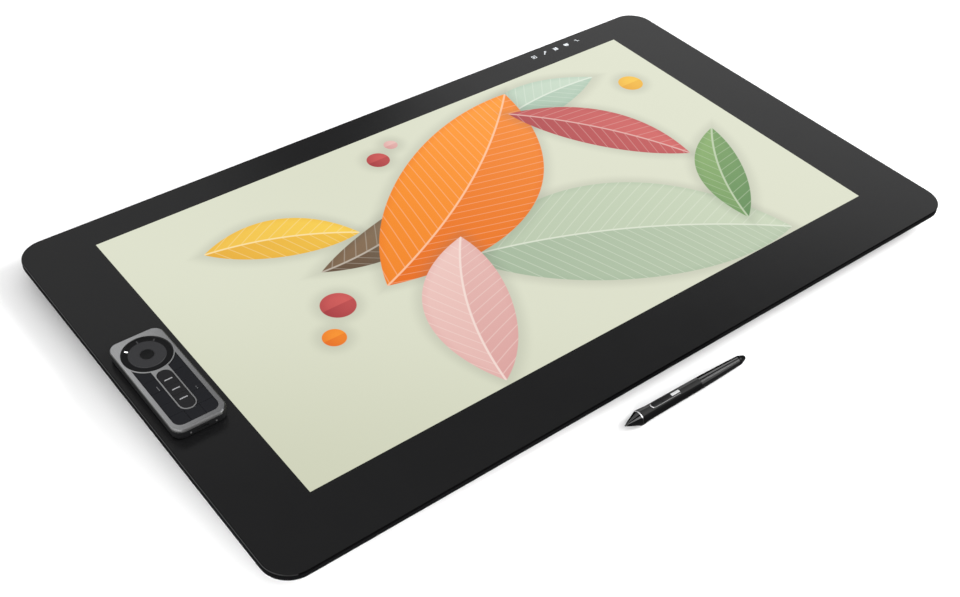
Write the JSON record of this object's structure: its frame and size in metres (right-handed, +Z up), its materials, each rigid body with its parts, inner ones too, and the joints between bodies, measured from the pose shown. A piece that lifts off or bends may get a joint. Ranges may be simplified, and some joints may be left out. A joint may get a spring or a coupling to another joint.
{
  "type": "graphics tablet with screen",
  "caption": "Flat pen display with a black glass border, fold-out rear legs and a mounting pattern, with a key remote on its border and a pen beside it.",
  "frame": {"origin": "centre of the four-hole mounting pattern on the rear face", "axes": "+X to the right, +Y away from the person drawing, +Z up through the glass"},
  "size_m": [0.851, 0.5328, 0.0409],
  "materials": {
    "border_glass": "etched glass with a black printed border",
    "seal_rubber": "black adhesive seal",
    "edge_metal": "satin black anodised",
    "cover_plastic": "fine moulded texture",
    "panel_glass": "display panel",
    "sheet_plastic": "milky film",
    "guide_plastic": "clear acrylic",
    "lamp_plastic": "lamp strip",
    "tray_metal": "pressed sheet",
    "board_green": "green solder mask",
    "shield_steel": "thin sheet",
    "chassis_metal": "pressed and machined plate",
    "sink_metal": "extruded fins",
    "connector_steel": "folded shell",
    "fan_plastic": "moulded black",
    "pin_steel": "ground pin",
    "foot_rubber": "matt black rubber",
    "screw_steel": "blackened screw",
    "insert_brass": "knurled insert",
    "leg_metal": "black painted casting",
    "button_plastic": "satin black",
    "remote_plastic": "satin black",
    "remote_silver": "satin silver grey",
    "ring_plastic": "satin dark grey",
    "light_plastic": "clear window",
    "cell_metal": "foil pouch",
    "hub_plastic": "satin black",
    "key_rubber": "soft touch dark grey",
    "mid_key_plastic": "satin dark grey with a pale bar",
    "pen_plastic": "satin black",
    "grip_rubber": "soft touch black",
    "pen_silver": "satin silver",
    "core_copper": "wound core",
    "nib_plastic": "hard plastic",
    "rocker_plastic": "satin black"
  },
  "bodies": {
    "tablet": {"cover_glass": "border_glass", "glass_seal": "seal_rubber", "side_frame": "edge_metal", "rear_cover": "cover_plastic", "lcd_panel": "panel_glass", "diffuser_sheets": "sheet_plastic", "light_guide": "guide_plastic", "lamp_bar": "lamp_plastic", "backlight_tray": "tray_metal", "pen_sensor_board": "board_green", "sensor_shield": "shield_steel", "chassis_plate": "chassis_metal", "main_board": "board_green", "power_board": "board_green", "heat_sink": "sink_metal", "connectors": "connector_steel", "fan_frames": "fan_plastic", "touch_key_board": "board_green", "leg_pins": "pin_steel", "rubber_feet": "foot_rubber", "cover_screws": "screw_steel", "mount_inserts": "insert_brass"},
    "left_leg": {"left_leg": "leg_metal", "left_leg_foot": "foot_rubber"},
    "right_leg": {"right_leg": "leg_metal", "right_leg_foot": "foot_rubber"},
    "left_fan": {"left_fan_rotor": "fan_plastic"},
    "right_fan": {"right_fan_rotor": "fan_plastic"},
    "power_button": {"power_button": "button_plastic"},
    "remote": {"remote_base": "remote_plastic", "remote_frame": "remote_silver", "touch_ring": "ring_plastic", "ring_lights": "light_plastic", "remote_board": "board_green", "remote_battery": "cell_metal", "remote_pads": "foot_rubber"},
    "ring_button": {"ring_button": "hub_plastic"},
    "mid_key_1": {"mid_key_1": "mid_key_plastic"},
    "mid_key_2": {"mid_key_2": "mid_key_plastic"},
    "mid_key_3": {"mid_key_3": "mid_key_plastic"},
    "left_key_1": {"left_key_1": "key_rubber"},
    "left_key_2": {"left_key_2": "key_rubber"},
    "left_key_3": {"left_key_3": "key_rubber"},
    "left_key_4": {"left_key_4": "key_rubber"},
    "right_key_1": {"right_key_1": "key_rubber"},
    "right_key_2": {"right_key_2": "key_rubber"},
    "right_key_3": {"right_key_3": "key_rubber"},
    "right_key_4": {"right_key_4": "key_rubber"},
    "low_key_1": {"low_key_1": "key_rubber"},
    "low_key_2": {"low_key_2": "key_rubber"},
    "low_key_3": {"low_key_3": "key_rubber"},
    "pen": {"pen_barrel": "pen_plastic", "pen_grip": "grip_rubber", "pen_nose": "pen_plastic", "pen_collar": "pen_silver", "pen_switch_frame": "pen_silver", "pen_core": "core_copper"},
    "pen_nib": {"pen_nib": "nib_plastic"},
    "pen_rocker": {"pen_rocker": "rocker_plastic"},
    "pen_tail_button": {"pen_tail_button": "pen_plastic"}
  },
  "joints": [
    {"name": "left_leg_fold", "type": "hinge", "parent": "tablet", "child": "left_leg", "pos_m": [-0.235, 0.125, 0.0041], "axis": [1, 0, 0], "range_deg": [0, 75]},
    {"name": "right_leg_fold", "type": "hinge", "parent": "tablet", "child": "right_leg", "pos_m": [0.235, 0.125, 0.0041], "axis": [1, 0, 0], "range_deg": [0, 75]},
    {"name": "left_fan_spin", "type": "hinge", "parent": "tablet", "child": "left_fan", "pos_m": [-0.155, 0.115, 0.008], "axis": [0, 0, 1], "continuous": true},
    {"name": "right_fan_spin", "type": "hinge", "parent": "tablet", "child": "right_fan", "pos_m": [0.155, 0.115, 0.008], "axis": [0, 0, 1], "continuous": true},
    {"name": "power_press", "type": "slide", "parent": "tablet", "child": "power_button", "axis": [0, -1, 0], "range_m": [0, 0.0006], "stiffness_N_per_m": 800},
    {"name": "remote_lift", "type": "slide", "parent": "tablet", "child": "remote", "axis": [0, 0, 1], "range_m": [0, 0.1]},
    {"name": "ring_press", "type": "slide", "parent": "remote", "child": "ring_button", "axis": [0, 0, -1], "range_m": [0, 0.0005], "stiffness_N_per_m": 800},
    {"name": "mid_key_1_press", "type": "slide", "parent": "remote", "child": "mid_key_1", "axis": [0, 0, -1], "range_m": [0, 0.0006], "stiffness_N_per_m": 800},
    {"name": "mid_key_2_press", "type": "slide", "parent": "remote", "child": "mid_key_2", "axis": [0, 0, -1], "range_m": [0, 0.0006], "stiffness_N_per_m": 800},
    {"name": "mid_key_3_press", "type": "slide", "parent": "remote", "child": "mid_key_3", "axis": [0, 0, -1], "range_m": [0, 0.0006], "stiffness_N_per_m": 800},
    {"name": "left_key_1_press", "type": "slide", "parent": "remote", "child": "left_key_1", "axis": [0, 0, -1], "range_m": [0, 0.0006], "stiffness_N_per_m": 800},
    {"name": "left_key_2_press", "type": "slide", "parent": "remote", "child": "left_key_2", "axis": [0, 0, -1], "range_m": [0, 0.0006], "stiffness_N_per_m": 800},
    {"name": "left_key_3_press", "type": "slide", "parent": "remote", "child": "left_key_3", "axis": [0, 0, -1], "range_m": [0, 0.0006], "stiffness_N_per_m": 800},
    {"name": "left_key_4_press", "type": "slide", "parent": "remote", "child": "left_key_4", "axis": [0, 0, -1], "range_m": [0, 0.0006], "stiffness_N_per_m": 800},
    {"name": "right_key_1_press", "type": "slide", "parent": "remote", "child": "right_key_1", "axis": [0, 0, -1], "range_m": [0, 0.0006], "stiffness_N_per_m": 800},
    {"name": "right_key_2_press", "type": "slide", "parent": "remote", "child": "right_key_2", "axis": [0, 0, -1], "range_m": [0, 0.0006], "stiffness_N_per_m": 800},
    {"name": "right_key_3_press", "type": "slide", "parent": "remote", "child": "right_key_3", "axis": [0, 0, -1], "range_m": [0, 0.0006], "stiffness_N_per_m": 800},
    {"name": "right_key_4_press", "type": "slide", "parent": "remote", "child": "right_key_4", "axis": [0, 0, -1], "range_m": [0, 0.0006], "stiffness_N_per_m": 800},
    {"name": "low_key_1_press", "type": "slide", "parent": "remote", "child": "low_key_1", "axis": [0, 0, -1], "range_m": [0, 0.0006], "stiffness_N_per_m": 800},
    {"name": "low_key_2_press", "type": "slide", "parent": "remote", "child": "low_key_2", "axis": [0, 0, -1], "range_m": [0, 0.0006], "stiffness_N_per_m": 800},
    {"name": "low_key_3_press", "type": "slide", "parent": "remote", "child": "low_key_3", "axis": [0, 0, -1], "range_m": [0, 0.0006], "stiffness_N_per_m": 800},
    {"name": "pen_lift", "type": "slide", "parent": "tablet", "child": "pen", "axis": [0, 0, 1], "range_m": [0, 0.12]},
    {"name": "nib_press", "type": "slide", "parent": "pen", "child": "pen_nib", "axis": [0.9999, 0, -0.0167], "range_m": [0, 0.0006], "stiffness_N_per_m": 1500},
    {"name": "rocker_tip", "type": "hinge", "parent": "pen", "child": "pen_rocker", "pos_m": [-0.02863, -0.2732, 0.00977], "axis": [0, 1, 0], "range_deg": [-2, 2], "stiffness_Nm_per_rad": 0.4},
    {"name": "tail_press", "type": "slide", "parent": "pen", "child": "pen_tail_button", "axis": [-0.9999, 0, 0.0167], "range_m": [0, 0.0005], "stiffness_N_per_m": 1500}
  ]
}
